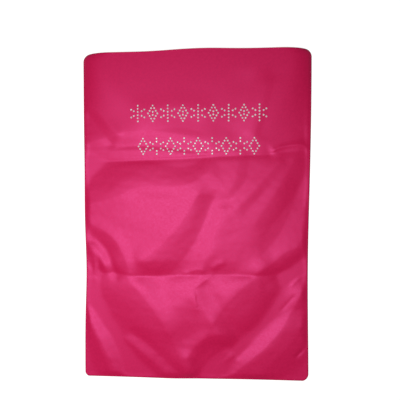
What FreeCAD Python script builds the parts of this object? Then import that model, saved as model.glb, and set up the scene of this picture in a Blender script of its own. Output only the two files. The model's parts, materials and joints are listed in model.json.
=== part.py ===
"""Flat skate bag: two cloth panels sewn round three sides, with a zip across the mouth.

Frame: X across the bag, Y from its foot to its mouth, Z up through its front.
The origin is the middle of the footprint, on the surface that the bag lies on.
All sizes are in millimetres.
"""

import FreeCAD, Part
import math
import os
import Sketcher

# Driving dimensions: alias, value, what it is.
SIZES = [
    ("bag_width", 450, "across the bag, seam to seam"),
    ("bag_length", 660, "foot seam to mouth edge"),
    ("mouth_corner", 16, "corner radius at the mouth"),
    ("lip_corner", 3, "corner radius of the raised front at the mouth"),
    ("eased_corner", 1, "corner radius of a strip's cut end"),
    ("foot_corner", 9, "corner radius at the foot"),
    ("cloth", 1.2, "wall of a cloth solid"),
    ("crown", 17, "height of the slack front panel over the surface"),
    ("seam", 8, "flat seam strip round the sides and foot"),
    ("side_slope", 22, "rise of the front panel beside a side seam"),
    ("foot_slope", 32, "rise of the front panel beside the foot seam"),
    ("lap", 14, "how far the front edge laps over the zip"),
    ("binding_inset", 12.5, "outline to the outer edge of the seam binding"),
    ("binding_width", 7.5, "width of the folded seam binding"),
    ("binding_height", 1.4, "thickness of the folded seam binding"),
    ("zip_height", 7.8, "height of the zip's middle line"),
    ("zip_gap", 1.6, "between the two coil bars"),
    ("zip_span", 356, "coil length, stop to stop: a stock 14 inch zip"),
    ("tape", 0.6, "thickness of the zip tape"),
    ("tape_foot", 8, "width of tape sewn to a panel"),
    ("tape_end", 193, "middle to the tape's end"),
    ("coil_width", 2.4, "one coil bar, across the zip"),
    ("coil_depth", 2.4, "one coil bar, out from the tape"),
    ("coil_round", 0.7, "rounding along a coil bar's edges"),
    ("stop_length", 1.9, "length of a zip stop"),
    ("stop_wall", 0.5, "how far a zip stop stands round the coil"),
    ("slider_length", 11, "slider along the zip"),
    ("slider_width", 9.4, "slider across the zip, at its shoulder"),
    ("slider_tail", 7.8, "slider across the zip, at its tail"),
    ("slider_plate", 1.3, "thickness of a slider plate"),
    ("slider_bevel", 1, "cut corner at a slider plate's shoulder"),
    ("slider_play", 0.4, "between the slider and the zip"),
    ("slider_flange", 0.9, "thickness of a slider flange"),
    ("post_inset", 0.6, "shoulder end of the slider to its post"),
    ("post_length", 3.4, "length of the post that parts the coils"),
    ("post_width", 0.9, "width of that post"),
    ("bail_half", 2.4, "half length of the bail"),
    ("bail_width", 2.4, "width of the bail"),
    ("bail_wall", 1.2, "thickness of the bail"),
    ("bail_bevel", 1, "cut corner of the bail"),
    ("bar_radius", 0.75, "radius of the pull's hinge bar"),
    ("bar_play", 0.3, "between the hinge bar and what holds it"),
    ("pull_length", 27, "hinge bar to the pull's tip"),
    ("pull_width", 7, "width of the pull"),
    ("pull_plate", 1.5, "thickness of the pull"),
    ("pull_bevel", 2, "cut corner at the pull's tip"),
    ("pull_window", 3.8, "hinge bar to the end of the pull's window"),
    ("pull_arm", 1.7, "width of an arm beside the window"),
    ("pull_hole", 1.6, "radius of the hole at the pull's tip"),
    ("stone_radius", 2, "radius of a crystal"),
    ("stone_table", 1.15, "radius of a crystal's flat top"),
    ("stone_height", 1.7, "height of a crystal"),
    ("stone_pitch", 6.08, "from one stone to the next up a motif"),
    ("diamond_half_width", 9.2, "middle of a diamond to its side stones"),
    ("row_offset", 7, "middle of the bag to the middle of the rows"),
    ("upper_row", 203, "height of the upper row over the bag's middle"),
    ("lower_row", 139, "height of the lower row over the bag's middle"),
    ("upper_span", 238, "first to last motif in the upper row"),
    ("lower_span", 219, "first to last motif in the lower row"),
    ("stitch_length", 2.6, "visible length of a stitch"),
    ("stitch_pitch", 3.2, "from one stitch to the next"),
    ("stitch_width", 0.5, "width of a stitch"),
    ("stitch_height", 0.35, "height of a stitch"),
]

MOTIFS_PER_ROW = 9
MOTIF_HALF_STEPS = 2.5  # a motif stands six stones high: five pitches
STONE_SIDES = 8
DIAMOND_STEPS = 3
SNOWFLAKE_ARMS = 6
ARM_STEPS = (1.5, 2.5)  # an arm's stones, in pitches from its motif's middle
MIDDLE_STEPS = (-0.5, 0.5)  # the pair in the middle of a filled motif
ORIGIN = -1  # a sketch's own origin, as a geometry index
LONG_EDGE = 100  # only the edges that run along the zip are longer than this

# Heights and depths that several pieces share, as expressions.
MOUTH = "Sizes.bag_length / 2"
FOOT = "-Sizes.bag_length / 2"
SIDE = "Sizes.bag_width / 2"
TAPE_FACE = "(Sizes.bag_length / 2 - Sizes.lap)"
TAPE_FOOT_END = f"({TAPE_FACE} - Sizes.tape_foot)"
FACING_LEVEL = "(Sizes.crown - 2 * Sizes.cloth)"
COIL_BACK = f"({TAPE_FACE} + Sizes.tape)"
COIL_FRONT = f"({COIL_BACK} + Sizes.coil_depth)"
OUTER_PLATE = f"({COIL_FRONT} + Sizes.slider_play)"
OUTER_FACE = f"({OUTER_PLATE} + Sizes.slider_plate)"
INNER_FACE = f"({TAPE_FACE} - Sizes.slider_play)"
SLIDER_MIDDLE = "(-Sizes.zip_span / 2 + Sizes.slider_play * 2 + Sizes.slider_length / 2)"
BAR_DEPTH = f"({OUTER_FACE} + Sizes.bar_play + Sizes.bar_radius)"
BAIL_HOLE = "(Sizes.bar_radius + Sizes.bar_play)"


def make_sheet(doc):
    """The spreadsheet that every other object reads its sizes from."""
    sheet = doc.addObject("Spreadsheet::Sheet", "Sizes")
    for row, (alias, value, meaning) in enumerate(SIZES, start=1):
        sheet.set(f"A{row}", alias)
        sheet.set(f"B{row}", str(value))
        sheet.set(f"C{row}", meaning)
        sheet.setAlias(f"B{row}", alias)
    doc.recompute()
    return sheet


def make_body(doc, label):
    body = doc.addObject("PartDesign::Body", label)
    body.Label = label
    return body


def make_sketch(body, name, role, offset="0"):
    """A sketch on one of the body's origin planes, moved along its normal by offset."""
    sketch = body.newObject("Sketcher::SketchObject", name)
    plane = next(f for f in body.Origin.OriginFeatures if f.Role == role)
    sketch.AttachmentSupport = (plane, "")
    sketch.MapMode = "FlatFace"
    sketch.setExpression("AttachmentOffset.Base.z", offset)
    return sketch


def bind(sketch, kind, arguments, expression):
    """Adds a dimension to a sketch and binds it to an expression."""
    index = sketch.addConstraint(
        Sketcher.Constraint(kind, *arguments, number(sketch, expression))
    )
    sketch.setExpression(f"Constraints[{index}]", expression)


def number(thing, expression):
    """The value of an expression as a plain number."""
    value = thing.evalExpression(expression)
    return float(getattr(value, "Value", value))


def polygon(sketch, corners):
    """A closed polygon through corners, each a pair of expressions."""
    points = [
        FreeCAD.Vector(number(sketch, x), number(sketch, y), 0) for x, y in corners
    ]
    first = sketch.GeometryCount
    count = len(points)
    for i in range(count):
        sketch.addGeometry(Part.LineSegment(points[i], points[(i + 1) % count]))
    for i in range(count):
        end, start = first + i, first + (i + 1) % count
        sketch.addConstraint(Sketcher.Constraint("Coincident", end, 2, start, 1))
    for i, (x, y) in enumerate(corners):
        bind(sketch, "DistanceX", (ORIGIN, 1, first + i, 1), x)
        bind(sketch, "DistanceY", (ORIGIN, 1, first + i, 1), y)


def rectangle(sketch, left, right, low, high):
    polygon(sketch, [(left, low), (right, low), (right, high), (left, high)])


def circle(sketch, x, y, radius):
    centre = FreeCAD.Vector(number(sketch, x), number(sketch, y), 0)
    normal = FreeCAD.Vector(0, 0, 1)
    index = sketch.addGeometry(Part.Circle(centre, normal, number(sketch, radius)))
    bind(sketch, "Radius", (index,), radius)
    bind(sketch, "DistanceX", (ORIGIN, 1, index, 3), x)
    bind(sketch, "DistanceY", (ORIGIN, 1, index, 3), y)


def rounded_outline(sketch, half_width, low, high, low_corner, high_corner):
    """A rectangle centred on the Y axis, with one radius at its foot and one at its mouth."""
    w, lo, hi = (number(sketch, e) for e in (half_width, low, high))
    rl, rh = number(sketch, low_corner), number(sketch, high_corner)
    normal = FreeCAD.Vector(0, 0, 1)

    def line(x1, y1, x2, y2):
        ends = FreeCAD.Vector(x1, y1, 0), FreeCAD.Vector(x2, y2, 0)
        sketch.addGeometry(Part.LineSegment(*ends))

    def corner(x, y, radius, start):
        ring = Part.Circle(FreeCAD.Vector(x, y, 0), normal, radius)
        sketch.addGeometry(Part.ArcOfCircle(ring, start, start + math.pi / 2))

    line(-w + rl, lo, w - rl, lo)
    corner(w - rl, lo + rl, rl, -math.pi / 2)
    line(w, lo + rl, w, hi - rh)
    corner(w - rh, hi - rh, rh, 0)
    line(w - rh, hi, -w + rh, hi)
    corner(-w + rh, hi - rh, rh, math.pi / 2)
    line(-w, hi - rh, -w, lo + rl)
    corner(-w + rl, lo + rl, rl, math.pi)
    count = sketch.GeometryCount
    for i in range(count):
        sketch.addConstraint(Sketcher.Constraint("Tangent", i, 2, (i + 1) % count, 1))
    for i, direction in ((0, "Horizontal"), (2, "Vertical"), (4, "Horizontal"), (6, "Vertical")):
        sketch.addConstraint(Sketcher.Constraint(direction, i))
    sketch.addConstraint(Sketcher.Constraint("Equal", 1, 7))
    sketch.addConstraint(Sketcher.Constraint("Equal", 3, 5))
    bind(sketch, "Radius", (1,), low_corner)
    bind(sketch, "Radius", (3,), high_corner)
    bind(sketch, "DistanceX", (ORIGIN, 1, 2, 1), half_width)
    bind(sketch, "DistanceX", (ORIGIN, 1, 6, 1), f"-({half_width})")
    bind(sketch, "DistanceY", (ORIGIN, 1, 0, 1), low)
    bind(sketch, "DistanceY", (ORIGIN, 1, 4, 1), high)


def extrude(body, kind, sketch, name, length, middle=False, back=False):
    """A Pad or Pocket of a sketch, by a bound length."""
    feature = body.newObject(f"PartDesign::{kind}", name)
    feature.Profile = sketch
    feature.setExpression("Length", length)
    feature.Midplane = middle
    feature.Reversed = back
    return feature


def loft(body, kind, name, bottom, top):
    """An additive or subtractive loft from one sketch to another."""
    feature = body.newObject(f"PartDesign::{kind}Loft", name)
    feature.Profile = bottom
    feature.Sections = [top]
    feature.Ruled = True
    return feature


def round_edges(doc, body, name, radius, wanted):
    """Fillets the edges of the body's last feature for which wanted(edge) is true."""
    doc.recompute()
    last = body.Tip
    edges = [f"Edge{i}" for i, e in enumerate(last.Shape.Edges, start=1) if wanted(e)]
    fillet = body.newObject("PartDesign::Fillet", name)
    fillet.Base = (last, edges)
    fillet.setExpression("Radius", radius)
    return fillet


def back_panel(doc):
    """The flat cloth that the bag lies on."""
    body = make_body(doc, "back_panel")
    outline = make_sketch(body, "BackOutline", "XY_Plane")
    rounded_outline(outline, SIDE, FOOT, MOUTH, "Sizes.foot_corner", "Sizes.mouth_corner")
    extrude(body, "Pad", outline, "BackCloth", "Sizes.cloth")
    return body


def raised_field(body, kind, name, inset, low_level, high_level, mouth):
    """Adds the raised part of the front, or cuts the hollow under it, inset by a cloth's wall."""
    bottom = make_sketch(body, f"{name}Bottom", "XY_Plane", low_level)
    half_width = f"{SIDE} - Sizes.seam - {inset}"
    foot = f"{FOOT} + Sizes.seam + {inset}"
    rounded_outline(bottom, half_width, foot, mouth, "Sizes.foot_corner", "Sizes.lip_corner")
    top = make_sketch(body, f"{name}Top", "XY_Plane", high_level)
    half_width = f"{SIDE} - Sizes.seam - Sizes.side_slope - {inset} / 2"
    foot = f"{FOOT} + Sizes.seam + Sizes.foot_slope + {inset} / 2"
    rounded_outline(top, half_width, foot, mouth, "Sizes.foot_corner", "Sizes.lip_corner")
    loft(body, kind, name, bottom, top)


def front_panel(doc):
    """The slack front cloth: a seam strip, a raised field, and a facing turned under at the mouth."""
    body = make_body(doc, "front_panel")
    strip = make_sketch(body, "SeamStrip", "XY_Plane", "Sizes.cloth")
    rounded_outline(strip, SIDE, FOOT, MOUTH, "Sizes.foot_corner", "Sizes.mouth_corner")
    extrude(body, "Pad", strip, "SeamCloth", "Sizes.cloth")
    raised_field(body, "Additive", "Rise", "0", "Sizes.cloth * 2", "Sizes.crown", MOUTH)
    ceiling = "Sizes.crown - Sizes.cloth"
    past_mouth = f"{MOUTH} + Sizes.lap"
    wall = "Sizes.cloth"
    raised_field(body, "Subtractive", "Hollow", wall, "Sizes.cloth", ceiling, past_mouth)
    facing = make_sketch(body, "Facing", "XY_Plane", ceiling)
    rectangle(facing, "-Sizes.tape_end", "Sizes.tape_end", TAPE_FOOT_END, MOUTH)
    extrude(body, "Pad", facing, "FacingCloth", "Sizes.cloth", back=True)
    return body


def seam_binding(doc):
    """The folded tape that covers the raw edges inside the side and foot seams."""
    body = make_body(doc, "seam_binding")
    outer = make_sketch(body, "BindingOuter", "XY_Plane", "Sizes.cloth")
    inset = "Sizes.binding_inset"
    end = f"{TAPE_FOOT_END} - Sizes.tape"
    sides = f"{SIDE} - {inset}"
    foot = f"{FOOT} + {inset}"
    rounded_outline(outer, sides, foot, end, "Sizes.foot_corner", "Sizes.eased_corner")
    extrude(body, "Pad", outer, "BindingStrip", "Sizes.binding_height")
    inner = make_sketch(body, "BindingInner", "XY_Plane", "Sizes.cloth")
    inset = "(Sizes.binding_inset + Sizes.binding_width)"
    sides = f"{SIDE} - {inset}"
    foot = f"{FOOT} + {inset}"
    rounded_outline(inner, sides, foot, MOUTH, "Sizes.foot_corner", "Sizes.eased_corner")
    extrude(body, "Pocket", inner, "BindingField", "Sizes.binding_height", back=True)
    return body


def zip_strip(doc, label, corners, half_length):
    """A body of constant section along the zip: corners are (depth, height) pairs."""
    body = make_body(doc, label)
    section = make_sketch(body, f"{label}_section", "YZ_Plane")
    polygon(section, corners)
    extrude(body, "Pad", section, f"{label}_run", f"2 * ({half_length})", middle=True)
    return body


def zip_tapes(doc):
    """Two woven tapes: each stands beside a coil and is sewn flat to its own panel."""
    back_edge = "Sizes.zip_height - Sizes.zip_gap / 2"
    front_edge = "Sizes.zip_height + Sizes.zip_gap / 2"
    back = [
        (TAPE_FOOT_END, "Sizes.cloth"),
        (COIL_BACK, "Sizes.cloth"),
        (COIL_BACK, back_edge),
        (TAPE_FACE, back_edge),
        (TAPE_FACE, "Sizes.cloth + Sizes.tape"),
        (TAPE_FOOT_END, "Sizes.cloth + Sizes.tape"),
    ]
    front = [
        (TAPE_FOOT_END, FACING_LEVEL),
        (TAPE_FOOT_END, f"{FACING_LEVEL} - Sizes.tape"),
        (TAPE_FACE, f"{FACING_LEVEL} - Sizes.tape"),
        (TAPE_FACE, front_edge),
        (COIL_BACK, front_edge),
        (COIL_BACK, FACING_LEVEL),
    ]
    return [
        zip_strip(doc, "zip_tape_back", back, "Sizes.tape_end"),
        zip_strip(doc, "zip_tape_front", front, "Sizes.tape_end"),
    ]


def zip_coils(doc):
    """Two coil bars, one on each tape, with the slider's post between them."""
    coils = []
    for label, sign in (("zip_coil_back", "-"), ("zip_coil_front", "+")):
        near = f"Sizes.zip_height {sign} Sizes.zip_gap / 2"
        far = f"{near} {sign} Sizes.coil_width"
        section = [(COIL_BACK, near), (COIL_FRONT, near), (COIL_FRONT, far), (COIL_BACK, far)]
        body = zip_strip(doc, label, section, "Sizes.zip_span / 2")
        round_edges(doc, body, f"{label}_round", "Sizes.coil_round", lambda e: e.Length > LONG_EDGE)
        coils.append(body)
    return coils


def zip_stops(doc):
    """Clips at the coil ends: one on each tape where the zip closes, one across both where it opens."""
    reach = "(Sizes.zip_gap / 2 + Sizes.coil_width + Sizes.stop_wall)"
    near = "(Sizes.zip_gap / 2)"
    height = "Sizes.zip_height"
    stops = []
    for label, low, high, along in (
        ("zip_top_stop_back", f"{height} - {reach}", f"{height} - {near}", "-1"),
        ("zip_top_stop_front", f"{height} + {near}", f"{height} + {reach}", "-1"),
        ("zip_bottom_stop", f"{height} - {reach}", f"{height} + {reach}", "1"),
    ):
        stop = doc.addObject("Part::Box", label)
        stop.Label = label
        stop.setExpression("Length", "Sizes.stop_length")
        stop.setExpression("Width", "Sizes.coil_depth + Sizes.stop_wall")
        stop.setExpression("Height", f"{high} - ({low})")
        middle = f"{along} * (Sizes.zip_span + Sizes.stop_length) / 2"
        stop.setExpression("Placement.Base.x", f"{middle} - Sizes.stop_length / 2")
        stop.setExpression("Placement.Base.y", COIL_BACK)
        stop.setExpression("Placement.Base.z", low)
        stops.append(stop)
    return stops


def zip_end_tabs(doc):
    """Cloth tabs that close the mouth from each tape end to the side seam."""
    tabs = []
    level = f"{FACING_LEVEL} + Sizes.tape"
    for label, sign in (("zip_end_tab_left", "-"), ("zip_end_tab_right", "")):
        body = make_body(doc, label)
        sketch = make_sketch(body, f"{label}_outline", "XZ_Plane", f"-{COIL_BACK}")
        end = f"{sign}Sizes.tape_end"
        edge = f"{sign}({SIDE} - Sizes.seam - 2 * Sizes.cloth)"
        corners = [(end, "Sizes.cloth"), (edge, "Sizes.cloth"), (end, level)]
        polygon(sketch, corners)
        extrude(body, "Pad", sketch, f"{label}_cloth", "Sizes.cloth")
        tabs.append(body)
    return tabs


def slider_outline(sketch):
    """The plan of a slider plate: a wide shoulder where the coils part, and a narrower tail."""
    head = f"{SLIDER_MIDDLE} - Sizes.slider_length / 2"
    tail = f"{SLIDER_MIDDLE} + Sizes.slider_length / 2"
    top, bottom = "Sizes.zip_height + ", "Sizes.zip_height - "
    polygon(
        sketch,
        [
            (head, f"{bottom} Sizes.slider_width / 2 + Sizes.slider_bevel"),
            (f"{head} + Sizes.slider_bevel", f"{bottom} Sizes.slider_width / 2"),
            (SLIDER_MIDDLE, f"{bottom} Sizes.slider_width / 2"),
            (tail, f"{bottom} Sizes.slider_tail / 2"),
            (tail, f"{top} Sizes.slider_tail / 2"),
            (SLIDER_MIDDLE, f"{top} Sizes.slider_width / 2"),
            (f"{head} + Sizes.slider_bevel", f"{top} Sizes.slider_width / 2"),
            (head, f"{top} Sizes.slider_width / 2 - Sizes.slider_bevel"),
        ],
    )


def slider_body(doc):
    """The cast slider: two plates joined by a post, flanges over the coils, and a bail for the pull."""
    body = make_body(doc, "slider_body")
    head = f"{SLIDER_MIDDLE} - Sizes.slider_length / 2"
    tail = f"{SLIDER_MIDDLE} + Sizes.slider_length / 2"

    inner = make_sketch(body, "InnerPlate", "XZ_Plane", f"-{INNER_FACE}")
    slider_outline(inner)
    extrude(body, "Pad", inner, "InnerPlatePad", "Sizes.slider_plate")

    post = make_sketch(body, "Post", "XZ_Plane", f"-{OUTER_PLATE}")
    half = "Sizes.post_width / 2"
    rectangle(
        post,
        f"{head} + Sizes.post_inset",
        f"{head} + Sizes.post_inset + Sizes.post_length",
        f"Sizes.zip_height - {half}",
        f"Sizes.zip_height + {half}",
    )
    extrude(body, "Pad", post, "PostPad", f"{OUTER_PLATE} - {INNER_FACE}")

    outer = make_sketch(body, "OuterPlate", "XZ_Plane", f"-{OUTER_FACE}")
    slider_outline(outer)
    extrude(body, "Pad", outer, "OuterPlatePad", "Sizes.slider_plate")

    flange_low = f"{COIL_BACK} + Sizes.slider_play"
    for name, sign in (("Lower", "-"), ("Upper", "+")):
        flange = make_sketch(body, f"{name}Flange", "XZ_Plane", f"-{OUTER_PLATE}")
        far = f"Sizes.zip_height {sign} Sizes.slider_tail / 2"
        near = f"Sizes.zip_height {sign} (Sizes.slider_tail / 2 - Sizes.slider_flange / 2)"
        wide = f"Sizes.zip_height {sign} Sizes.slider_width / 2"
        wide_near = f"Sizes.zip_height {sign} (Sizes.slider_width / 2 - Sizes.slider_flange)"
        polygon(
            flange,
            [
                (f"{head} + Sizes.slider_bevel", wide_near),
                (SLIDER_MIDDLE, wide_near),
                (tail, near),
                (tail, far),
                (SLIDER_MIDDLE, wide),
                (f"{head} + Sizes.slider_bevel", wide),
            ],
        )
        extrude(body, "Pad", flange, f"{name}FlangePad", f"{OUTER_PLATE} - ({flange_low})")

    bail = make_sketch(body, "Bail", "XY_Plane", "Sizes.zip_height")
    crest = f"{BAR_DEPTH} + {BAIL_HOLE} + Sizes.bail_wall"
    left, right = f"{SLIDER_MIDDLE} - Sizes.bail_half", f"{SLIDER_MIDDLE} + Sizes.bail_half"
    polygon(
        bail,
        [
            (left, OUTER_FACE),
            (right, OUTER_FACE),
            (right, f"{crest} - Sizes.bail_bevel"),
            (f"{right} - Sizes.bail_bevel", crest),
            (f"{left} + Sizes.bail_bevel", crest),
            (left, f"{crest} - Sizes.bail_bevel"),
        ],
    )
    extrude(body, "Pad", bail, "BailPad", "Sizes.bail_width", middle=True)
    eye = make_sketch(body, "BailEye", "XY_Plane", "Sizes.zip_height")
    circle(eye, SLIDER_MIDDLE, BAR_DEPTH, BAIL_HOLE)
    extrude(body, "Pocket", eye, "BailEyeHole", "Sizes.bail_width", middle=True)
    return body


def pull_tab(doc):
    """The pull: a hinge bar under the bail, two arms beside it, and a plate with a hole at its tip."""
    body = make_body(doc, "pull_tab")
    half = "Sizes.pull_width / 2"
    face = f"{BAR_DEPTH} + Sizes.pull_plate / 2"
    plate = make_sketch(body, "PullPlate", "XZ_Plane", f"-({face})")
    tip = f"{SLIDER_MIDDLE} + Sizes.pull_length"
    polygon(
        plate,
        [
            (SLIDER_MIDDLE, f"Sizes.zip_height - {half}"),
            (f"{tip} - Sizes.pull_bevel", f"Sizes.zip_height - {half}"),
            (tip, f"Sizes.zip_height - {half} + Sizes.pull_bevel"),
            (tip, f"Sizes.zip_height + {half} - Sizes.pull_bevel"),
            (f"{tip} - Sizes.pull_bevel", f"Sizes.zip_height + {half}"),
            (SLIDER_MIDDLE, f"Sizes.zip_height + {half}"),
        ],
    )
    extrude(body, "Pad", plate, "PullPlatePad", "Sizes.pull_plate")
    window = make_sketch(body, "PullWindow", "XZ_Plane", f"-({face})")
    rectangle(
        window,
        f"{SLIDER_MIDDLE} - Sizes.bar_radius",
        f"{SLIDER_MIDDLE} + Sizes.pull_window",
        f"Sizes.zip_height - ({half} - Sizes.pull_arm)",
        f"Sizes.zip_height + ({half} - Sizes.pull_arm)",
    )
    extrude(body, "Pocket", window, "PullWindowCut", "Sizes.pull_plate", back=True)
    eye = make_sketch(body, "PullEye", "XZ_Plane", f"-({face})")
    circle(eye, f"{tip} - 2 * Sizes.pull_hole", "Sizes.zip_height", "Sizes.pull_hole")
    extrude(body, "Pocket", eye, "PullEyeHole", "Sizes.pull_plate", back=True)
    bar = make_sketch(body, "HingeBar", "XY_Plane", "Sizes.zip_height")
    circle(bar, SLIDER_MIDDLE, BAR_DEPTH, "Sizes.bar_radius")
    extrude(body, "Pad", bar, "HingeBarPad", "Sizes.pull_width", middle=True)
    return body


def stone_solid(sizes):
    """One crystal standing on Z = 0: an eight-sided frustum."""

    def ring(radius, level):
        corners = []
        for i in range(STONE_SIDES + 1):
            turn = 2 * math.pi * i / STONE_SIDES
            corners.append(FreeCAD.Vector(radius * math.cos(turn), radius * math.sin(turn), level))
        return Part.makePolygon(corners)

    girdle = ring(sizes.stone_radius, 0)
    table = ring(sizes.stone_table, sizes.stone_height)
    return Part.makeLoft([girdle, table], True, True)


def diamond_stones(sizes):
    """Stone places along a diamond's four sides, about its own middle."""
    wide = sizes.diamond_half_width
    tall = sizes.stone_pitch * MOTIF_HALF_STEPS
    tips = [(0, tall), (wide, 0), (0, -tall), (-wide, 0)]
    places = []
    for i, (x, y) in enumerate(tips):
        to_x, to_y = tips[(i + 1) % len(tips)]
        for step in range(DIAMOND_STEPS):
            share = step / DIAMOND_STEPS
            places.append((x + (to_x - x) * share, y + (to_y - y) * share))
    return places


def snowflake_stones(sizes):
    """Stone places on a six-armed snowflake, about its own middle."""
    places = []
    for arm in range(SNOWFLAKE_ARMS):
        turn = math.pi / 2 + 2 * math.pi * arm / SNOWFLAKE_ARMS
        for step in ARM_STEPS:
            reach = sizes.stone_pitch * step
            places.append((reach * math.cos(turn), reach * math.sin(turn)))
    return places


def crystal_row(doc, sizes, label, level, span, filled):
    """Snowflakes and diamonds in turn, as one group of separate stones; filled adds a middle pair."""
    stone = stone_solid(sizes)
    stones = []
    for i in range(MOTIFS_PER_ROW):
        middle = sizes.row_offset + span * (i / (MOTIFS_PER_ROW - 1) - 0.5)
        places = snowflake_stones(sizes) if (i % 2 == 0) == filled else diamond_stones(sizes)
        if filled:
            places += [(0, sizes.stone_pitch * step) for step in MIDDLE_STEPS]
        for x, y in places:
            stones.append(stone.translated(FreeCAD.Vector(middle + x, level + y, 0)))
    row = doc.addObject("Part::Feature", label)
    row.Label = label
    row.Shape = Part.makeCompound(stones)
    row.Placement = FreeCAD.Placement(FreeCAD.Vector(0, 0, sizes.crown), FreeCAD.Rotation())
    return row


def stitch_row(doc, sizes, label, level):
    """A row of thread stitches on a tape's foot, inside the bag, standing on that level."""
    count = int(2 * sizes.tape_end / sizes.stitch_pitch)
    start = -(count * sizes.stitch_pitch - (sizes.stitch_pitch - sizes.stitch_length)) / 2
    stitch = Part.makeBox(sizes.stitch_length, sizes.stitch_width, sizes.stitch_height)
    stitches = []
    for i in range(count):
        stitches.append(stitch.translated(FreeCAD.Vector(start + i * sizes.stitch_pitch, 0, 0)))
    row = doc.addObject("Part::Feature", label)
    row.Label = label
    row.Shape = Part.makeCompound(stitches)
    foot_middle = sizes.bag_length / 2 - sizes.lap - sizes.tape_foot / 2
    place = FreeCAD.Vector(0, foot_middle - sizes.stitch_width / 2, level)
    row.Placement = FreeCAD.Placement(place, FreeCAD.Rotation())
    return row


def check(doc, pieces):
    """Stops if anything failed to build."""
    for thing in doc.Objects:
        if any(word in ("Invalid", "Error") for word in thing.State):
            raise RuntimeError(f"{thing.Label} did not build: {thing.State}")
    for piece in pieces:
        if piece.Shape.isNull() or not piece.Shape.isValid() or not piece.Shape.Solids:
            raise RuntimeError(f"{piece.Label} is not a valid solid")


def main():
    doc = FreeCAD.newDocument("skate_bag")
    sheet = make_sheet(doc)
    pieces = [back_panel(doc), front_panel(doc), seam_binding(doc)]
    pieces += zip_tapes(doc)
    pieces += zip_coils(doc)
    pieces += zip_stops(doc)
    pieces += zip_end_tabs(doc)
    pieces += [slider_body(doc), pull_tab(doc)]
    front_foot_level = sheet.crown - 2 * sheet.cloth - sheet.tape
    pieces += [
        crystal_row(doc, sheet, "upper_crystals", sheet.upper_row, sheet.upper_span, True),
        crystal_row(doc, sheet, "lower_crystals", sheet.lower_row, sheet.lower_span, False),
        stitch_row(doc, sheet, "back_tape_stitches", sheet.cloth + sheet.tape),
        stitch_row(doc, sheet, "front_tape_stitches", front_foot_level - sheet.stitch_height),
    ]
    doc.recompute()
    check(doc, pieces)
    os.makedirs("parts", exist_ok=True)
    for piece in pieces:
        piece.Shape.exportStep(f"parts/{piece.Label}.step")
        box = piece.Shape.optimalBoundingBox(True, False)
        print(
            f"{piece.Label}: {len(piece.Shape.Solids)} solids, {piece.Shape.Volume:.1f} mm3, "
            f"x {box.XMin:.1f} {box.XMax:.1f}, y {box.YMin:.1f} {box.YMax:.1f}, "
            f"z {box.ZMin:.1f} {box.ZMax:.1f}"
        )


main()
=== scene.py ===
"""The looks of a flat satin skate bag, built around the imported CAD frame.

Everything is in metres in the frame's own axes: X across the bag, Y from its foot to its mouth,
Z up through its front. The tables of bows, ridges and slopes are in millimetres, for reading.
"""

import json
import math
import random

import bpy
import numpy as np
from mathutils import Matrix, Vector


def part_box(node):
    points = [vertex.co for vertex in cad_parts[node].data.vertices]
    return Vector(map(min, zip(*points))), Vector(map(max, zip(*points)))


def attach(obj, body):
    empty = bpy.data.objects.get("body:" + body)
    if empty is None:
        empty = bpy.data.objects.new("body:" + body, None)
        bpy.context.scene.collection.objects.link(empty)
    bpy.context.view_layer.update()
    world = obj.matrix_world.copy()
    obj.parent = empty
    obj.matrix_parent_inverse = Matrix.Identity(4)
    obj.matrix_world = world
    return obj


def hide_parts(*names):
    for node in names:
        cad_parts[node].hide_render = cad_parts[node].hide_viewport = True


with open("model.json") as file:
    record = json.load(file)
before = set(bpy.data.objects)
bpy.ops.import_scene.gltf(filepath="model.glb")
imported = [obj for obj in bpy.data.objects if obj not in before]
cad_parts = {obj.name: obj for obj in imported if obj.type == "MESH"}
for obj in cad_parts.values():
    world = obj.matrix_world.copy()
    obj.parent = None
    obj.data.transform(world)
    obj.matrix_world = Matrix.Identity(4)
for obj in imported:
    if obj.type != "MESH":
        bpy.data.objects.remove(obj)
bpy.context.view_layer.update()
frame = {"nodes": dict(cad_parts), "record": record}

MM = 0.001
BAG = "bag"

# The bag's outline, from the CAD panel it replaces.
PANEL_LOW, PANEL_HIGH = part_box("front_panel")
HALF_WIDTH = PANEL_HIGH.x
EDGE_BOW = 5.6 * MM  # the ends bow out past their corners
MOUTH_CORNER_Y = PANEL_HIGH.y - EDGE_BOW
FOOT_CORNER_Y = PANEL_LOW.y + EDGE_BOW
MOUTH_RADIUS = 16 * MM
LEFT_FOOT_RADIUS = 10 * MM
RIGHT_FOOT_RADIUS = 14 * MM

# The edges' slight bows. Each one: how far it moves the edge towards +X or +Y, its middle and its
# width, in mm.
LEFT_BOWS = [(3.6, -108, 85), (0.8, 90, 80)]
RIGHT_BOWS = [(1.6, 260, 200), (-3.2, -100, 170)]
MOUTH_BOWS = [(4.0, 20, 85)]
FOOT_BOWS = [(-1.2, 0, 80)]
# Where an edge slants off towards a corner. Each slant: how far it moves the edge towards +Y, where
# it starts and its length, in mm. A length below 0 runs to the left.
MOUTH_SLANTS = [(2.6, 50, 150), (-1.0, -20, -100)]
FOOT_SLANTS = [(-2.0, 20, -80)]

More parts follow.
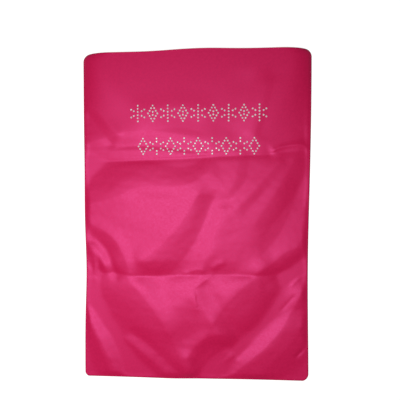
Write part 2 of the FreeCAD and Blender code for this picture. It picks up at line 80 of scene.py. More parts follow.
# Heights of the front cloth over the floor.
BACK_TOP = 0.7 * MM
ROLL_HEIGHT = 3.0 * MM  # the rolled seam edge
ROLL_WIDTH = 2.8 * MM
LOWER_HEIGHT = 11.5 * MM  # what the middle rises towards in the bag's lower half
MOUTH_HEIGHT = PANEL_HIGH.z - 0.6 * MM  # a little under the CAD panel's top
SIDE_RISE = 290 * MM  # the rise's reach from a side: past the middle, so it never levels out
MOUTH_RISE = 55 * MM  # the same at the mouth, where the closure holds the cloth up
FOOT_RISE = 250 * MM
RISE_START, RISE_LENGTH = -150 * MM, 300 * MM  # where the lower height turns into the mouth's
MOUTH_LINE = 308 * MM  # where the sides rise as steeply as they do at the mouth
MOUTH_ZONE = 170 * MM  # how far short of that they start to steepen
BODY_RAMP = 6 * MM  # how far in from an edge the body of the cloth starts in full
SEAM_DIP, SEAM_PLACE, SEAM_WIDTH = 0.3 * MM, 4.4 * MM, 1.3 * MM  # a faint valley beside the roll
LEAST_HEIGHT = 3.5 * MM  # clear of the binding inside
LEAST_RAMP = 10 * MM  # how far in from an edge that holds in full
LEAST_ROUNDING = 0.8 * MM

# Where the folds and the unevenness fade out.
SLACK_RAMP = 14 * MM  # how far in from an edge it is there in full
SLACK_END, SLACK_FADE = 250 * MM, 55 * MM  # where it starts to fade below the mouth, and how far

# A finer unevenness. Each set of waves: shortest and longest in mm, height as a share of the
# length, and how many. Above the calm line the cloth is smoother.
WAVE_SETS = [(34, 110, 0.0011, 24), (12, 30, 0.0008, 30)]
WAVE_SEED = 7
WAVE_TURN, WAVE_TURN_SPREAD = 0.45 * math.pi, 0.6
PATCH_LENGTH = 3.1  # in wavelengths
CALM_START, CALM_FADE, CALM_SHARE = 60 * MM, 90 * MM, 0.85

# Puckers beside the seams.
PUCKER_COUNT = 7
PUCKER_LENGTHS = (9, 30)  # mm
PUCKER_HEIGHT = 0.11 * MM
PUCKER_START, PUCKER_REACH = 2 * MM, 9 * MM
SIDE_PUCKER_SEED, FOOT_PUCKER_SEED = 3, 5

GRID_STEP = 2.3 * MM
EDGE_STEPS = [0, 0.35, 0.8, 1.3, 1.9, 2.6, 3.4, 4.4, 5.8, 7.6]  # mm in from an edge


def smooth(t):
    """0 below 0, 1 above 1, and an even curve between them."""
    t = np.clip(t, 0.0, 1.0)
    return t * t * (3 - 2 * t)


def bump(v, middle, width):
    """1 in the middle, falling evenly to 0 on both sides."""
    return np.exp(-(((v - middle) / width) ** 2))


# ---------------------------------------------------------------- outline

def bows(v, table):
    return sum(size * MM * bump(v, middle * MM, width * MM) for size, middle, width in table)


def slants(v, table):
    return sum(size * MM * smooth((v - start * MM) / (length * MM)) for size, start, length in table)


def left_edge(y):
    return -HALF_WIDTH + bows(y, LEFT_BOWS)


def right_edge(y):
    return HALF_WIDTH + bows(y, RIGHT_BOWS)


def mouth_edge(x):
    return MOUTH_CORNER_Y + bows(x, MOUTH_BOWS) + slants(x, MOUTH_SLANTS)


def foot_edge(x):
    return FOOT_CORNER_Y + bows(x, FOOT_BOWS) + slants(x, FOOT_SLANTS)


def corner_inset(x, y):
    """How far the rounded corners draw the sides in, level with a place."""
    total = np.zeros_like(x)
    foot_radius = np.where(x > 0, RIGHT_FOOT_RADIUS, LEFT_FOOT_RADIUS)
    for gap, radius in ((y - foot_edge(x), foot_radius), (mouth_edge(x) - y, MOUTH_RADIUS)):
        inside = np.clip(radius - gap, 0, radius)
        total += radius - np.sqrt(radius**2 - inside**2)
    return total


def steps(length):
    """Places from 0 to length: close together at both ends, even between them."""
    near = np.array(EDGE_STEPS) * MM
    count = int((length - 2 * near[-1]) / GRID_STEP)
    middle = np.linspace(near[-1], length - near[-1], count + 1)[1:-1]
    return np.concatenate([near, middle, length - near[::-1]])


def outline_grid():
    """X and Y of a grid that fills the outline, rounded corners included."""
    across = steps(2 * HALF_WIDTH) / (2 * HALF_WIDTH)
    length = MOUTH_CORNER_Y - FOOT_CORNER_Y
    along = steps(length) / length
    u, v = np.meshgrid(across, along)
    x = (2 * u - 1) * HALF_WIDTH
    low, high = foot_edge(x), mouth_edge(x)
    y = low + (high - low) * v
    drawn_in = corner_inset(x, y)
    left, right = left_edge(y) + drawn_in, right_edge(y) - drawn_in
    return left + (right - left) * u, y


# ---------------------------------------------------------------- folds

# Each ridge: its name, its line from left to right in mm, its height in mm (below 0 is a valley),
# and how far it reaches above and below its line, in mm. A sharp ridge has a creased line.
SHARP, SOFT = True, False
RIDGES = [
    # The two creases across the bag, where it was folded in three.
    ("crease_1", [(-225, 110), (-60, 115), (35, 120), (140, 125), (225, 130)], -2.6, 34, 18, SHARP),
    ("crease_2", [(-205, -115), (-160, -115), (-105, -120), (45, -115), (145, -115), (225, -105)],
     -3.8, 24, 18, SHARP),
    # Short wrinkles at the creases' ends and middles, and nicks beside the edges.
    ("right_end_arch", [(145, 125), (165, 135), (190, 140), (210, 140), (225, 130)], 2.2, 6, 5, SHARP),
    ("left_nick", [(-230, -85), (-215, -100), (-205, -110)], -2.4, 4, 3, SHARP),
    ("left_nick_2", [(-230, -120), (-205, -120), (-185, -125)], -1.6, 3, 3, SHARP),
    ("left_nick_3", [(-230, -105), (-210, -110)], 1.6, 3, 3, SHARP),
    ("crease_2_pinch", [(-30, -115), (-10, -110), (5, -105), (25, -110)], 0.8, 6, 5, SHARP),
    ("crease_2_pinch_2", [(30, -105), (45, -95), (65, -90)], 0.8, 7, 6, SOFT),
    ("crease_2_pinch_3", [(-5, -145), (15, -130), (40, -110)], 0.7, 6, 5, SHARP),
    ("right_wrinkle", [(180, -125), (205, -105), (230, -95)], 1.1, 4, 4, SHARP),
    ("right_wrinkle_2", [(185, -140), (205, -120), (230, -110)], 1.0, 4, 4, SHARP),
    ("right_line", [(165, -190), (200, -150)], -0.7, 3, 3, SHARP),
    ("right_nick", [(195, -280), (210, -265), (225, -250)], -1.8, 3, 3, SHARP),
    ("right_nick_2", [(205, -230), (225, -210)], -1.2, 3, 3, SHARP),
]
# Each slope: its name, its middle line from left to right, its width at its two ends, how much
# higher its upper side is at its two ends (below 0, the lower side is the higher one), and how far
# beyond it the cloth takes to level out, all in mm.
SLOPES = [
    # Upper third.
    ("upper_left_streak", [(-240, 220), (-205, 205), (-175, 170), (-150, 145)], (18, 22), (2.4, 2.0), 12),
    ("above_crease_1", [(-270, 105), (-205, 135), (-110, 155), (-20, 145), (45, 125)],
     (26, 30), (2.6, 2.8), 28),
    ("crease_1_rise", [(-270, 130), (-180, 135), (-90, 135), (30, 125)], (14, 6), (-1.4, -0.9), 12),
    ("crease_1_lip", [(-240, 110), (-60, 115), (35, 120), (150, 125)], (5, 5), (0.8, 0.8), 6),
    ("upper_right_slope", [(85, 130), (110, 215), (130, 300)], (44, 38), (-3.0, -2.2), 30),
    ("upper_right_fall", [(115, 150), (135, 225), (150, 295)], (20, 20), (1.1, 1.0), 18),
    ("upper_soft_slope", [(-130, 180), (-40, 195), (40, 180)], (40, 40), (1.9, 1.9), 25),
    # Middle third.
    ("shoulder", [(-290, 50), (-180, 65), (-110, 85), (-20, 80), (40, 115)], (84, 22), (-6.2, -1.8), 26),
    ("middle_slope", [(-115, -135), (-40, -65), (0, -5), (35, 65)], (64, 28), (5.6, 4.0), 30),
    ("middle_return", [(-10, -130), (20, -50), (50, 40)], (24, 28), (-1.8, -2.2), 22),
    ("upper_middle_fall", [(70, 30), (90, 75), (100, 140)], (20, 20), (0.9, 0.9), 18),
    ("right_streak", [(60, 10), (110, 65), (165, 125)], (18, 20), (-1.3, -1.3), 14),
    ("right_streak_fall", [(85, 5), (135, 60), (185, 120)], (16, 16), (0.7, 0.7), 14),
    ("right_slope", [(115, -40), (155, 15), (190, 65), (240, 150)], (26, 46), (0.7, 4.0), 22),
    ("right_return", [(135, -100), (180, -50), (215, 20), (245, 70)], (40, 44), (-2.4, -3.0), 26),
    ("right_low_slope", [(115, -130), (160, -105), (195, -80), (260, -65)], (26, 42), (2.4, 3.6), 16),
    ("above_crease_2", [(-125, -105), (-20, -100), (45, -95), (95, -100)], (30, 20), (2.2, 0.5), 20),
    ("left_arc", [(-240, -20), (-195, -35), (-160, -70), (-140, -135)], (20, 28), (2.2, 3.6), 14),
    ("left_arc_inner", [(-245, -45), (-205, -55), (-180, -85), (-170, -120)], (10, 12), (-1.2, -1.6), 8),
    ("left_arc_core", [(-260, -75), (-215, -85), (-190, -120)], (30, 28), (2.6, 3.0), 10),
    # Lower third.
    ("left_facet", [(-215, -95), (-145, -175), (-95, -250), (-50, -370)], (72, 100), (6.8, 8.6), 24),
    ("left_low_slope", [(-230, -145), (-185, -235), (-135, -325), (-110, -380)], (20, 30), (-1.5, -3.6), 14),
    ("left_edge_fall", [(-265, -170), (-225, -250), (-180, -370)], (44, 52), (3.4, 5.6), 18),
    ("left_low_streak", [(-145, -235), (-90, -275), (-10, -350)], (18, 22), (-2.2, -2.6), 14),
    ("centre_fall", [(-70, -210), (0, -225), (40, -215)], (76, 84), (3.2, 3.4), 28),
    ("right_facet", [(0, -345), (70, -230), (120, -175), (190, -125)], (60, 96), (4.8, 6.6), 26),
    ("right_corner_fall", [(115, -370), (195, -300), (270, -210)], (70, 80), (6.4, 6.0), 26),
    ("right_low_streak", [(20, -370), (65, -300), (145, -225), (210, -110)], (36, 36), (-6.0, -5.2), 20),
    ("small_slope", [(-5, -130), (35, -185), (70, -240), (90, -280)], (30, 24), (-3.0, -3.6), 16),
    ("low_arch", [(-15, -300), (20, -255), (60, -245), (105, -270)], (22, 22), (2.8, 2.4), 14),
    ("low_streak", [(0, -350), (35, -295), (80, -260)], (22, 20), (-3.0, -2.4), 12),
]
RIDGE_FADE = 12 * MM
SLOPE_FADE = 26 * MM
CREASE_ROUNDING = 0.9 * MM
CRISPNESS = 0.7  # 0 for slopes that round off at their edges, 1 for ones that end in a crease
CURVE_PIECES = 4  # between two of a line's points


def curve_through(points):
    """A Catmull-Rom curve through points, as an array of places."""
    p = np.array(points, float) * MM
    p = np.vstack([2 * p[0] - p[1], p, 2 * p[-1] - p[-2]])
    out = []
    for i in range(1, len(p) - 2):
        a, b, c, d = p[i - 1 : i + 3]
        for t in np.linspace(0, 1, CURVE_PIECES, endpoint=False):
            out.append(
                0.5 * (2 * b + (c - a) * t + (2 * a - 5 * b + 4 * c - d) * t**2
                       + (3 * b - a - 3 * c + d) * t**3)
            )
    out.append(p[-2])
    return np.array(out)


def beside_curve(x, y, line):
    """For each place: its distance from the line, whether it is above the line, how far the line's
    nearer end is along the line, and its share of the way along."""
    best = np.full(x.shape, np.inf)
    above = np.zeros(x.shape, bool)
    run = np.zeros(x.shape)
    done = 0.0
    for a, b in zip(line[:-1], line[1:]):
        step = b - a
        size = float(np.hypot(*step))
        t = np.clip(((x - a[0]) * step[0] + (y - a[1]) * step[1]) / size**2, 0, 1)
        away = np.hypot(x - a[0] - t * step[0], y - a[1] - t * step[1])
        nearer = away < best
        best = np.where(nearer, away, best)
        side = step[0] * (y - a[1]) - step[1] * (x - a[0]) > 0
        above = np.where(nearer, side, above)
        run = np.where(nearer, done + t * size, run)
        done += size
    return best, above, np.minimum(run, done - run), run / done


def ridge_heights(x, y):
    """What the ridges and valleys add to the cloth's height."""
    total = np.zeros_like(x)
    for _, points, height, reach_above, reach_below, sharp in RIDGES:
        away, above, from_end = beside_curve(x, y, curve_through(points))[:3]
        reach = np.where(above, reach_above, reach_below) * MM
        if sharp:
            eased = np.sqrt(away**2 + CREASE_ROUNDING**2) - CREASE_ROUNDING
            profile = np.exp(-eased / reach)
        else:
            profile = np.exp(-((away / reach) ** 2))
        total += height * MM * profile * smooth(from_end / RIDGE_FADE)
    return total


def slope_heights(x, y):
    """What the slopes add to the cloth's height."""
    total = np.zeros_like(x)
    for _, points, widths, rises, reach in SLOPES:
        away, above, from_end, share = beside_curve(x, y, curve_through(points))
        half = (widths[0] + (widths[1] - widths[0]) * share) * MM / 2
        rise = (rises[0] + (rises[1] - rises[0]) * share) * MM
        fade = SLOPE_FADE * smooth(half / SLOPE_FADE) + reach * MM / 2
        share_across = np.clip(away / half, 0, 1)
        across = CRISPNESS * share_across + (1 - CRISPNESS) * np.sin(share_across * math.pi / 2)
        levelling = np.exp(-((np.maximum(away - half, 0) / (reach * MM)) ** 2))
        side = np.where(above, 0.5, -0.5)
        total += rise * side * across * levelling * smooth(from_end / fade)
    return total


def unevenness(x, y):
    """Slight slack all over, from many crossing waves, the same each time."""
    rng = random.Random(WAVE_SEED)
    total = np.zeros_like(x)
    calm = 1 - CALM_SHARE * smooth((y - CALM_START) / CALM_FADE)
    for shortest, longest, steepness, count in WAVE_SETS:
        for _ in range(count):
            wave = rng.uniform(shortest, longest) * MM
            turn = rng.gauss(WAVE_TURN, WAVE_TURN_SPREAD)
            phase = rng.uniform(0, 2 * math.pi)
            along = x * math.cos(turn) + y * math.sin(turn)
            across = y * math.cos(turn) - x * math.sin(turn)
            patch = 0.5 + 0.5 * np.sin(2 * math.pi * across / (wave * PATCH_LENGTH) + 2 * phase)
            total += wave * steepness * patch * np.sin(2 * math.pi * along / wave + phase)
    return total * calm


def puckers(along, gap, seed):
    """Short waves that a seam draws into the cloth beside it."""
    rng = random.Random(seed)
    total = np.zeros_like(along)
    for _ in range(PUCKER_COUNT):
        wave = rng.uniform(*PUCKER_LENGTHS) * MM
        phase = rng.uniform(0, 2 * math.pi)
        total += PUCKER_HEIGHT * np.sin(2 * math.pi * along / wave + phase)
    return total * np.exp(-gap / PUCKER_REACH) * smooth(gap / PUCKER_START)


def rising(gap, reach):
    """From 0 at an edge to 1 at the end of its reach, steepest at the edge."""
    return 1 - (1 - np.clip(gap / reach, 0, 1)) ** 3


def front_height(x, y):
    """Height of the front cloth over the floor."""
    side = np.minimum(x - left_edge(y), right_edge(y) - x) - corner_inset(x, y)
    side = np.maximum(side, 0)
    foot = np.maximum(y - foot_edge(x), 0)
    edge = np.minimum(side, foot)
    roll = ROLL_HEIGHT * np.sqrt(1 - np.clip(1 - edge / ROLL_WIDTH, 0, 1) ** 2)
    seam = -SEAM_DIP * bump(edge, SEAM_PLACE, SEAM_WIDTH)
    base = BACK_TOP + ROLL_HEIGHT
    near_mouth = smooth((y - MOUTH_LINE + MOUTH_ZONE) / MOUTH_ZONE)
    risen = smooth((y - RISE_START) / RISE_LENGTH)
    middle_height = LOWER_HEIGHT + (MOUTH_HEIGHT - LOWER_HEIGHT) * risen
    side_reach = SIDE_RISE * (MOUTH_RISE / SIDE_RISE) ** near_mouth
    body = (middle_height - base) * rising(side, side_reach) * rising(foot, FOOT_RISE)
    slack = ridge_heights(x, y) + slope_heights(x, y) + unevenness(x, y)
    slack *= smooth(edge / SLACK_RAMP) * (1 - smooth((y - SLACK_END) / SLACK_FADE))
    height = body + slack + seam
    height += puckers(y, side, SIDE_PUCKER_SEED) * (1 - near_mouth)
    height += puckers(x, foot, FOOT_PUCKER_SEED)
    least = (LEAST_HEIGHT - base) * smooth(edge / LEAST_RAMP)
    height = (height + least + np.sqrt((height - least) ** 2 + LEAST_ROUNDING**2)) / 2
    return BACK_TOP + roll + height * smooth(edge / BODY_RAMP)


# ---------------------------------------------------------------- meshes

def new_object(name, vertices, faces, material, flat_shaded=False):
    mesh = bpy.data.meshes.new(name)
    mesh.from_pydata([tuple(v) for v in vertices], [], faces)
    mesh.update()
    if not flat_shaded:
        mesh.polygons.foreach_set("use_smooth", [True] * len(mesh.polygons))
    mesh.materials.append(material)
    piece = bpy.data.objects.new(name, mesh)
    bpy.context.scene.collection.objects.link(piece)
    return piece


def grid_faces(rows, columns, start=0, turned=False):
    """Faces of a grid whose places follow one another row by row."""
    faces = []
    for r in range(rows - 1):
        for c in range(columns - 1):
            a = start + r * columns + c
            face = (a, a + 1, a + columns + 1, a + columns)
            faces.append(face[::-1] if turned else face)
    return faces


FACING_DEPTH = 20 * MM
FACING_SHARES = (0.1, 0.2, 0.35, 0.5, 0.75, 1.0)  # of that depth, one for each of its rows
FOLD_RADIUS = 0.6 * MM  # of the fold at the mouth
LOW_FOLD_DIVISOR = 3  # low down, the radius is the cloth's height over the back divided by this
FOLD_TURNS = (0.25, 0.5, 0.75, 1.0)  # half turns
FOLD_FLATNESS = 0.4  # how far the fold stands out, as a share of its radius


def make_front(material):
    """The front cloth: the slack field, and the facing turned under along the mouth."""
    x, y = outline_grid()
    rows = list(np.stack([x, y, front_height(x, y)], -1))
    lip = rows[-1]
    fold = np.minimum(FOLD_RADIUS, (lip[:, 2] - BACK_TOP) / LOW_FOLD_DIVISOR)
    for turn in FOLD_TURNS:
        angle = turn * math.pi
        out = fold * math.sin(angle) * FOLD_FLATNESS
        down = fold * (1 - math.cos(angle))
        rows.append(np.stack([lip[:, 0], lip[:, 1] + out, lip[:, 2] - down], -1))
    for share in FACING_SHARES:
        row_x, row_y = lip[:, 0], lip[:, 1] - FACING_DEPTH * share
        rows.append(np.stack([row_x, row_y, front_height(row_x, row_y) - 2 * fold], -1))
    places = np.concatenate(rows)
    return new_object("front_cloth", places, grid_faces(len(rows), x.shape[1]), material)


def make_back(material):
    """The back cloth: a thin flat sheet with the same outline, on every second row and column."""
    x, y = outline_grid()
    top = np.stack([x, y, np.full_like(x, BACK_TOP)], -1)[::2, ::2]
    under = top.copy()
    under[..., 2] = 0.0
    rows, columns = top.shape[:2]
    count = rows * columns
    faces = grid_faces(rows, columns) + grid_faces(rows, columns, count, True)
    rim = list(range(columns))
    rim += [r * columns + columns - 1 for r in range(1, rows)]
    rim += [(rows - 1) * columns + c for c in range(columns - 2, -1, -1)]
    rim += [r * columns for r in range(rows - 2, 0, -1)]
    for a, b in zip(rim, rim[1:] + rim[:1]):
        faces.append((a, a + count, b + count, b))
    places = np.concatenate([top.reshape(-1, 3), under.reshape(-1, 3)])
    return new_object("back_cloth", places, faces, material)


# ---------------------------------------------------------------- crystals

MOTIFS_PER_ROW = 9
STONE_PITCH = 6.08 * MM
STONE_RADIUS = 2.0 * MM
STONE_TILT = 0.07  # the most a stone leans out of true, as a slope
STONE_SEED = 11
FACETS = 8
DIAMOND_HALF_WIDTH = 9.2 * MM
DIAMOND_HALF_HEIGHT = 2.5 * STONE_PITCH
STONES_PER_SIDE = 3
SNOWFLAKE_ARMS = 6
SNOWFLAKE_REACHES = (1.5 * STONE_PITCH, 2.5 * STONE_PITCH)


def stone_shape():
    """A flat-backed brilliant: table, crown and girdle rings, as vertices and faces."""
    rings = [  # radius, height, turn in half facets
        (0.96 * STONE_RADIUS, 0.0, 0),
        (STONE_RADIUS, 0.35 * MM, 0),
        (0.82 * STONE_RADIUS, 1.05 * MM, 1),
        (0.5 * STONE_RADIUS, 1.6 * MM, 0),
    ]
    vertices = []
    for radius, height, turn in rings:
        for i in range(FACETS):
            angle = 2 * math.pi * (i + turn / 2) / FACETS
            vertices.append((radius * math.cos(angle), radius * math.sin(angle), height))
    faces = [tuple(range(FACETS))[::-1], tuple(range(3 * FACETS, 4 * FACETS))]
    for i in range(FACETS):
        j = (i + 1) % FACETS
        faces.append((i, j, FACETS + j, FACETS + i))
        a, b = FACETS, 2 * FACETS
        faces += [(a + i, a + j, b + i), (a + j, b + j, b + i)]
        a, b = 2 * FACETS, 3 * FACETS
        faces += [(a + i, a + j, b + j), (a + i, b + j, b + i)]
    return vertices, faces


def diamond():
    """Places of a diamond's stones round its middle."""
    wide, tall = DIAMOND_HALF_WIDTH, DIAMOND_HALF_HEIGHT
    tips = [(0, tall), (wide, 0), (0, -tall), (-wide, 0)]
    places = []
    for (x, y), (to_x, to_y) in zip(tips, tips[1:] + tips[:1]):
        for k in range(STONES_PER_SIDE):
            share = k / STONES_PER_SIDE
            places.append((x + (to_x - x) * share, y + (to_y - y) * share))
    return places


def snowflake():
    """Places of a snowflake's stones round its middle."""
    places = []
    for arm in range(SNOWFLAKE_ARMS):
        angle = math.pi / 2 + 2 * math.pi * arm / SNOWFLAKE_ARMS
        for reach in SNOWFLAKE_REACHES:
            places.append((reach * math.cos(angle), reach * math.sin(angle)))
    return places


def make_crystals(name, node, filled, material):
    """A row of snowflakes and diamonds in turn, with each stone nearly square on the cloth.

    A filled row starts with a snowflake, and each of its motifs has two stones in its middle.
    """
    low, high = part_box(node)
    ends = snowflake() if filled else diamond()
    margin = max(x for x, _ in ends) + STONE_RADIUS
    first, last = low.x + margin, high.x - margin
    level = (low.y + high.y) / 2
    places = []
    for i in range(MOTIFS_PER_ROW):
        middle = first + (last - first) * i / (MOTIFS_PER_ROW - 1)
        motif = snowflake() if (i % 2 == 0) == filled else diamond()
        if filled:
            motif = motif + [(0, -0.5 * STONE_PITCH), (0, 0.5 * STONE_PITCH)]
        places += [(middle + dx, level + dy) for dx, dy in motif]
    x, y = np.array(places).T
    step = STONE_RADIUS
    slope_x = (front_height(x + step, y) - front_height(x - step, y)) / (2 * step)
    slope_y = (front_height(x, y + step) - front_height(x, y - step)) / (2 * step)
    shape, shape_faces = stone_shape()
    vertices, faces = [], []
    rng = random.Random(STONE_SEED)
    for at, lean_x, lean_y in zip(zip(x, y, front_height(x, y)), slope_x, slope_y):
        tilt_x = rng.uniform(-STONE_TILT, STONE_TILT)
        tilt_y = rng.uniform(-STONE_TILT, STONE_TILT)
        normal = Vector((tilt_x - lean_x, tilt_y - lean_y, 1)).normalized()
        spin = Matrix.Rotation(rng.uniform(0, 1), 3, "Z")
        turn = normal.to_track_quat("Z", "Y").to_matrix() @ spin
        start = len(vertices)
        vertices += [Vector(at) + turn @ Vector(v) for v in shape]
        faces += [tuple(start + k for k in face) for face in shape_faces]
    return new_object(name, vertices, faces, material, flat_shaded=True)


# ---------------------------------------------------------------- closure

COIL_PITCH = 1.5 * MM
STRAND_RADIUS = 0.33 * MM
STEPS_PER_TURN = 12
STRAND_SIDES = 6


def make_coil(name, node, start_turn, material):
    """One side of the closure: a single strand wound in even loops along the tape."""
    low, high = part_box(node)
    radius_y = (high.y - low.y) / 2 - STRAND_RADIUS
    radius_z = (high.z - low.z) / 2 - STRAND_RADIUS
    turns = (high.x - low.x - 2 * STRAND_RADIUS) / COIL_PITCH
    along = np.linspace(0, turns, int(turns * STEPS_PER_TURN) + 1)
    angle = 2 * math.pi * (along + start_turn)
    out_y, out_z = np.cos(angle), np.sin(angle)
    x = low.x + STRAND_RADIUS + COIL_PITCH * along
    rings = []
    for side in range(STRAND_SIDES):
        around = 2 * math.pi * side / STRAND_SIDES
        out, sideways = STRAND_RADIUS * math.cos(around), STRAND_RADIUS * math.sin(around)
        y = (low.y + high.y) / 2 + (radius_y + out) * out_y
        z = (low.z + high.z) / 2 + (radius_z + out) * out_z
        rings.append(np.stack([x + sideways, y, z], -1))
    places = np.stack(rings, 1)
    faces = [tuple(range(STRAND_SIDES))[::-1]]
    last = (len(along) - 1) * STRAND_SIDES
    faces.append(tuple(range(last, last + STRAND_SIDES)))
    for i in range(len(along) - 1):
        for side in range(STRAND_SIDES):
            a = i * STRAND_SIDES + side
            b = i * STRAND_SIDES + (side + 1) % STRAND_SIDES
            faces.append((a, b, b + STRAND_SIDES, a + STRAND_SIDES))
    return new_object(name, places.reshape(-1, 3), faces, material)


# ---------------------------------------------------------------- materials

def new_material(name):
    """A new material, its nodes, its links and its shader."""
    material = bpy.data.materials.new(name)
    material.use_nodes = True
    nodes = material.node_tree.nodes
    return material, nodes, material.node_tree.links, nodes["Principled BSDF"]


def set_inputs(node, values):
    """Give a node's inputs their values, and return the node."""
    for name, value in values.items():
        node.inputs[name].default_value = value
    return node


def split_by_camera(tree, seen, unseen, output):
    """Show the camera one shader, and everything else another."""
    path = tree.nodes.new("ShaderNodeLightPath")
    mix = tree.nodes.new("ShaderNodeMixShader")
    tree.links.new(path.outputs["Is Camera Ray"], mix.inputs["Fac"])
    tree.links.new(unseen, mix.inputs[1])
    tree.links.new(seen, mix.inputs[2])
    tree.links.new(mix.outputs["Shader"], tree.nodes[output].inputs["Surface"])


def satin_material():
    """Dyed satin: fine diagonal floats, a slub here and there, a tinted gloss, uneven dye."""
    material, nodes, links, shader = new_material("satin")
    place = nodes.new("ShaderNodeTexCoord")
    dye = set_inputs(nodes.new("ShaderNodeTexNoise"), {"Scale": 260, "Detail": 4})
    ramp = nodes.new("ShaderNodeValToRGB")
    ramp.color_ramp.elements[0].color = (0.70, 0.0062, 0.079, 1)
    ramp.color_ramp.elements[1].color = (0.77, 0.0080, 0.089, 1)
    ramp.color_ramp.elements[0].position = 0.3
    ramp.color_ramp.elements[1].position = 0.7
    floats = nodes.new("ShaderNodeTexWave")
    floats.bands_direction = "DIAGONAL"
    set_inputs(floats, {"Scale": 1600, "Distortion": 0.8, "Detail": 1})
    stretch = set_inputs(nodes.new("ShaderNodeMapping"), {"Scale": (0.35, 2.4, 1.0)})
    slubs = set_inputs(nodes.new("ShaderNodeTexNoise"), {"Scale": 700, "Detail": 2})
    weave = set_inputs(nodes.new("ShaderNodeBump"), {"Strength": 0.08, "Distance": 0.1 * MM})
    grain = set_inputs(nodes.new("ShaderNodeBump"), {"Strength": 0.12, "Distance": 0.4 * MM})
    sheen = nodes.new("ShaderNodeMapRange")
    set_inputs(sheen, {"From Min": 0.3, "From Max": 0.7, "To Min": 0.43, "To Max": 0.49})
    links.new(place.outputs["Object"], dye.inputs["Vector"])
    links.new(place.outputs["Object"], floats.inputs["Vector"])
    links.new(place.outputs["Object"], stretch.inputs["Vector"])
    links.new(stretch.outputs["Vector"], slubs.inputs["Vector"])
    links.new(dye.outputs["Fac"], ramp.inputs["Fac"])
    links.new(ramp.outputs["Color"], shader.inputs["Base Color"])
    links.new(dye.outputs["Fac"], sheen.inputs["Value"])
    links.new(sheen.outputs["Result"], shader.inputs["Roughness"])
    links.new(floats.outputs["Fac"], weave.inputs["Height"])
    links.new(slubs.outputs["Fac"], grain.inputs["Height"])
    links.new(weave.outputs["Normal"], grain.inputs["Normal"])
    links.new(grain.outputs["Normal"], shader.inputs["Normal"])
    gloss = {"IOR": 1.7, "Specular IOR Level": 1.0, "Specular Tint": (0.76, 0.145, 0.44, 1)}
    set_inputs(shader, gloss)
    return material


def plain_material(name, color, roughness, metallic=0.0, grain=400.0, strength=0.1):
    """A material with a fine grain in its surface."""
    material, nodes, links, shader = new_material(name)
    place = nodes.new("ShaderNodeTexCoord")
    noise = set_inputs(nodes.new("ShaderNodeTexNoise"), {"Scale": grain})
    bumps = set_inputs(nodes.new("ShaderNodeBump"), {"Strength": strength, "Distance": 0.3 * MM})
    links.new(place.outputs["Object"], noise.inputs["Vector"])
    links.new(noise.outputs["Fac"], bumps.inputs["Height"])
    links.new(bumps.outputs["Normal"], shader.inputs["Normal"])
    set_inputs(shader, {"Base Color": (*color, 1), "Roughness": roughness, "Metallic": metallic})
    return material


def crystal_material():
    """Opaque and pale with a slight coat, some stones brighter than others: the pinker, darker ones carry a
    painted reflection of the pink cloth.
    """
    material, nodes, links, shader = new_material("crystal")
    place = nodes.new("ShaderNodeTexCoord")
    reflection_patches = set_inputs(nodes.new("ShaderNodeTexVoronoi"), {"Scale": 160})
    # Painted reflection: the ramp's pink end stands in for the pink cloth seen in the stones' facets. Its
    # pale end is the stones' own colour.
    ramp = nodes.new("ShaderNodeValToRGB")
    ramp.color_ramp.elements[0].color = (0.80, 0.62, 0.70, 1)
    ramp.color_ramp.elements[1].color = (0.97, 0.93, 0.95, 1)
    links.new(place.outputs["Object"], reflection_patches.inputs["Vector"])
    links.new(reflection_patches.outputs["Color"], ramp.inputs["Fac"])
    links.new(ramp.outputs["Color"], shader.inputs["Base Color"])
    set_inputs(shader, {"Roughness": 0.26, "Coat Weight": 0.2, "Coat Roughness": 0.12})
    return material


# ---------------------------------------------------------------- the object

satin = satin_material()
front = make_front(satin)
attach(front, BAG)
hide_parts("front_panel")
back = make_back(satin)
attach(back, BAG)
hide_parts("back_panel")

crystal = crystal_material()
for row_name, row_node, row_filled in (
    ("upper_crystal_row", "upper_crystals", True),
    ("lower_crystal_row", "lower_crystals", False),
):
    row = make_crystals(row_name, row_node, row_filled, crystal)
    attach(row, BAG)
    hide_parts(row_node)

woven = plain_material(
    "zip_tape", (0.55, 0.012, 0.085), roughness=0.75, grain=1400.0, strength=0.5
)
nylon = plain_material("zip_coil", (0.50, 0.015, 0.09), roughness=0.35)
for coil_name, coil_node, coil_start in (
    ("back_coil", "zip_coil_back", 0.0),
    ("front_coil", "zip_coil_front", 0.5),
):
    coil = make_coil(coil_name, coil_node, coil_start, nylon)
    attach(coil, BAG)
    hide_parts(coil_node)

metal = plain_material(
    "zip_metal", (0.72, 0.72, 0.74), roughness=0.25, metallic=1.0, grain=600.0, strength=0.05
)
thread = plain_material("thread", (0.62, 0.02, 0.11), roughness=0.6, grain=2500.0, strength=0.6)
# The looks of the CAD pieces that show as they are, by their material slots.
CAD_MATERIALS = {
    "satin": satin,
    "binding": woven,
    "zip_tape": woven,
    "thread": thread,
    "zip_metal": metal,
}
for entry in frame["record"]["subparts"]:
    node = frame["nodes"][entry["node"]]
    if entry["material_slot"] in CAD_MATERIALS:
        for slot in node.material_slots:
            slot.material = CAD_MATERIALS[entry["material_slot"]]

# ---------------------------------------------------------------- stage

WHITE = (1, 1, 1, 1)
FLOOR_HALF = 6.0
FLOOR_DROP = 0.2 * MM  # just clear of the bag's underside


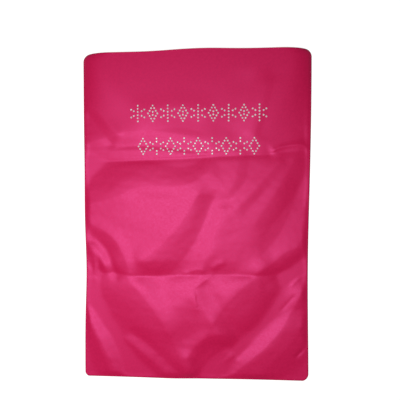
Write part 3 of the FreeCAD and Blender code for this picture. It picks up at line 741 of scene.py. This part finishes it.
def make_floor():
    """A near-white floor. What the bag's edges see of it is dimmer than what the camera sees."""
    sides = [(-1, -1), (1, -1), (1, 1), (-1, 1)]
    corners = [(x * FLOOR_HALF, y * FLOOR_HALF, -FLOOR_DROP) for x, y in sides]
    material, nodes, _, shader = new_material("floor")
    set_inputs(shader, {"Base Color": (0.5, 0.5, 0.5, 1), "Roughness": 0.9})
    set_inputs(shader, {"Emission Color": WHITE, "Emission Strength": 0.82})
    dim = set_inputs(nodes.new("ShaderNodeBsdfDiffuse"), {"Color": (0.4, 0.4, 0.4, 1)})
    split_by_camera(
        material.node_tree, shader.outputs["BSDF"], dim.outputs["BSDF"], "Material Output"
    )
    new_object("floor", corners, [(0, 1, 2, 3)], material)


def light_world():
    """A white background for the camera, and a faint even light for everything else."""
    world = bpy.data.worlds.new("studio")
    bpy.context.scene.world = world
    world.use_nodes = True
    seen = set_inputs(world.node_tree.nodes.new("ShaderNodeBackground"), {"Color": WHITE})
    fill = world.node_tree.nodes["Background"]
    set_inputs(fill, {"Color": WHITE, "Strength": 0.13})
    split_by_camera(
        world.node_tree, seen.outputs["Background"], fill.outputs["Background"], "World Output"
    )


def area_light(name, place, target, width, depth, power):
    """A rectangular lamp that the camera doesn't see, pointed at its target."""
    data = bpy.data.lights.new(name, "AREA")
    data.shape = "RECTANGLE"
    data.size = width
    data.size_y = depth
    data.energy = power
    lamp = bpy.data.objects.new(name, data)
    lamp.location = place
    lamp.rotation_euler = (Vector(target) - Vector(place)).to_track_quat("-Z", "Y").to_euler()
    lamp.visible_camera = False
    bpy.context.scene.collection.objects.link(lamp)


make_floor()
area_light(
    "key", (-0.24, -0.08, 1.25), target=(-0.24, -0.08, 0), width=0.8, depth=0.22, power=10.8
)
light_world()

# Nearly straight above the bag, a little towards its right and its mouth, and turned back to
# face its middle.
CAMERA_PLACE = (0.098, 0.069, 1.10)
CAMERA_TURN = (-1.88, 4.61, 0.02)  # degrees
camera_data = bpy.data.cameras.new("camera")
camera_data.lens = 50.0
camera_data.sensor_width = 36
camera = bpy.data.objects.new("camera", camera_data)
camera.location = CAMERA_PLACE
camera.rotation_euler = [math.radians(turn) for turn in CAMERA_TURN]
bpy.context.scene.collection.objects.link(camera)
bpy.context.scene.camera = camera
bpy.context.scene.view_settings.view_transform = "Standard"
